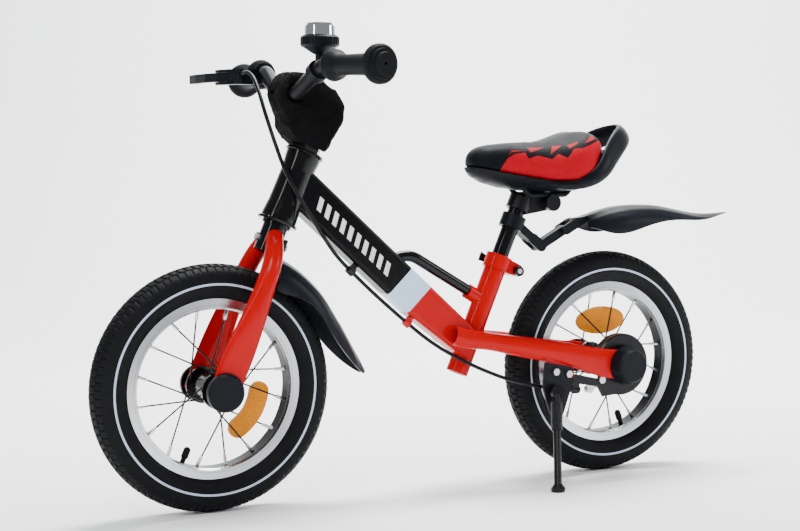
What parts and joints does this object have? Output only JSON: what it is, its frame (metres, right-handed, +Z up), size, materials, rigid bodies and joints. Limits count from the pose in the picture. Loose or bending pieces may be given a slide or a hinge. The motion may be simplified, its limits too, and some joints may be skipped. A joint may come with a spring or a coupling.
{
  "type": "balance bike",
  "caption": "Child's balance bike on its kickstand, with spoked wheels, band brake, bell, padded bar, saddle and mudguards.",
  "frame": {"origin": "centre of the footprint on the floor, under the bike as it leans on its kickstand", "axes": "+X towards the rear wheel, +Z up, the bike's left side and kickstand at -Y"},
  "size_m": [0.915, 0.4346, 0.5779],
  "materials": {
    "amber": "amber prismatic reflector",
    "black_gloss": "gloss black paint",
    "black_plastic": "charcoal moulded plastic",
    "black_rim": "silver alloy with a black well",
    "black_spokes": "black wire with silver nipples",
    "black_steel": "satin black",
    "cable_skin": "smooth black housing",
    "chrome": "polished",
    "frame_paint": "gloss paint: black front, pale blue band, red rear",
    "pad_skin": "soft black cover over foam",
    "red_paint": "gloss red paint",
    "rubber": "matt black rubber",
    "saddle_skin": "soft skin in red and black with jagged borders",
    "steel": "zinc-plated steel",
    "tyre": "matt black rubber with a thin white line on each wall"
  },
  "bodies": {
    "frame": {"head_tube": "black_gloss", "down_tube": "frame_paint", "seat_tube": "red_paint", "chain_stays": "red_paint", "frame_brace": "black_gloss", "cable_clips": "red_paint", "headset_cups": "black_gloss", "headset_bearings": "steel", "seat_clamp": "black_steel", "seat_clamp_bolt": "steel", "kickstand_housing": "black_plastic", "kickstand_bolts": "steel", "rear_axle": "steel", "rear_axle_nuts": "steel", "rear_axle_caps": "black_plastic", "brake_cover": "black_steel", "brake_band": "steel", "brake_cable": "cable_skin"},
    "steering": {"fork_crown": "black_gloss", "fork_legs": "red_paint", "steering_fasteners": "black_steel", "stem": "black_steel", "handlebar": "black_gloss", "handlebar_pad": "pad_skin", "handlebar_grips": "rubber", "brake_lever_bracket": "black_plastic", "bell_clamp": "black_plastic", "bell_dome": "chrome", "front_mudguard": "black_plastic", "front_axle": "steel", "front_axle_nuts": "steel", "front_axle_caps": "black_plastic"},
    "front_wheel": {"front_tyre": "tyre", "front_inner_tube": "rubber", "front_rim": "black_rim", "front_spokes": "black_spokes", "front_hub": "black_gloss", "front_bearings": "steel", "front_reflector": "amber"},
    "rear_wheel": {"rear_tyre": "tyre", "rear_inner_tube": "rubber", "rear_rim": "black_rim", "rear_spokes": "black_spokes", "rear_hub": "black_gloss", "rear_bearings": "steel", "rear_reflector": "amber", "brake_drum": "steel"},
    "seat": {"seat_post": "black_gloss", "saddle_clamp": "black_steel", "saddle_base": "black_plastic", "saddle_cover": "saddle_skin", "mudguard_clamp": "black_plastic"},
    "mudguard_link_body": {"mudguard_link": "black_plastic"},
    "rear_mudguard_body": {"rear_mudguard": "black_plastic"},
    "kickstand": {"kickstand_leg": "black_steel", "kickstand_spring": "black_steel"},
    "brake_lever_body": {"brake_lever": "black_plastic"},
    "brake_arm_body": {"brake_arm": "steel"},
    "quick_release": {"quick_release_lever": "black_steel"},
    "bell_ring_body": {"bell_ring": "black_plastic"}
  },
  "joints": [
    {"name": "steering_turn", "type": "hinge", "parent": "frame", "child": "steering", "pos_m": [-0.20441, 0.00738, 0.38676], "axis": [0.4003, -0.048, 0.9151], "range_deg": [-45, 45], "deforming": ["brake_cable"]},
    {"name": "front_wheel_spin", "type": "hinge", "parent": "steering", "child": "front_wheel", "pos_m": [-0.3085, 0.01985, 0.14883], "axis": [0, 0.9986, 0.0523], "continuous": true},
    {"name": "rear_wheel_spin", "type": "hinge", "parent": "frame", "child": "rear_wheel", "pos_m": [0.2515, 0.01985, 0.14883], "axis": [0, 0.9986, 0.0523], "continuous": true},
    {"name": "seat_height", "type": "slide", "parent": "frame", "child": "seat", "axis": [0.3939, -0.0481, 0.9179], "range_m": [-0.025, 0.06]},
    {"name": "mudguard_link_tilt", "type": "hinge", "parent": "seat", "child": "mudguard_link_body", "pos_m": [0.1495, 0.01158, 0.30662], "axis": [0, -0.9986, -0.0523], "range_deg": [-2, 12]},
    {"name": "rear_mudguard_tilt", "type": "hinge", "parent": "mudguard_link_body", "child": "rear_mudguard_body", "pos_m": [0.2025, 0.01006, 0.33558], "axis": [0, -0.9986, -0.0523], "range_deg": [-5, 15]},
    {"name": "kickstand_fold", "type": "hinge", "parent": "frame", "child": "kickstand", "pos_m": [0.1385, -0.0421, 0.11755], "axis": [0, -0.9743, 0.2254], "range_deg": [0, 85]},
    {"name": "brake_lever_pull", "type": "hinge", "parent": "steering", "child": "brake_lever_body", "pos_m": [-0.2365, 0.10802, 0.52997], "axis": [0, 0.0523, -0.9986], "range_deg": [0, 20], "stiffness_Nm_per_rad": 0.3, "springref_deg": -8.59},
    {"name": "brake_arm_pull", "type": "hinge", "parent": "frame", "child": "brake_arm_body", "pos_m": [0.2175, -0.02562, 0.12792], "axis": [0, 0.9986, 0.0523], "range_deg": [0, 12]},
    {"name": "quick_release_open", "type": "hinge", "parent": "frame", "child": "quick_release", "pos_m": [0.11139, 0.03021, 0.27604], "axis": [-0.3939, 0.0481, -0.9179], "range_deg": [0, 110]},
    {"name": "bell_ring_turn", "type": "hinge", "parent": "steering", "child": "bell_ring_body", "pos_m": [-0.19874, -0.07611, 0.55336], "axis": [0, -0.0523, 0.9986], "range_deg": [0, 60], "stiffness_Nm_per_rad": 0.01}
  ],
  "couplings": [
    {"joint": "brake_arm_pull", "follows": "brake_lever_pull", "ratio": 0.6}
  ]
}
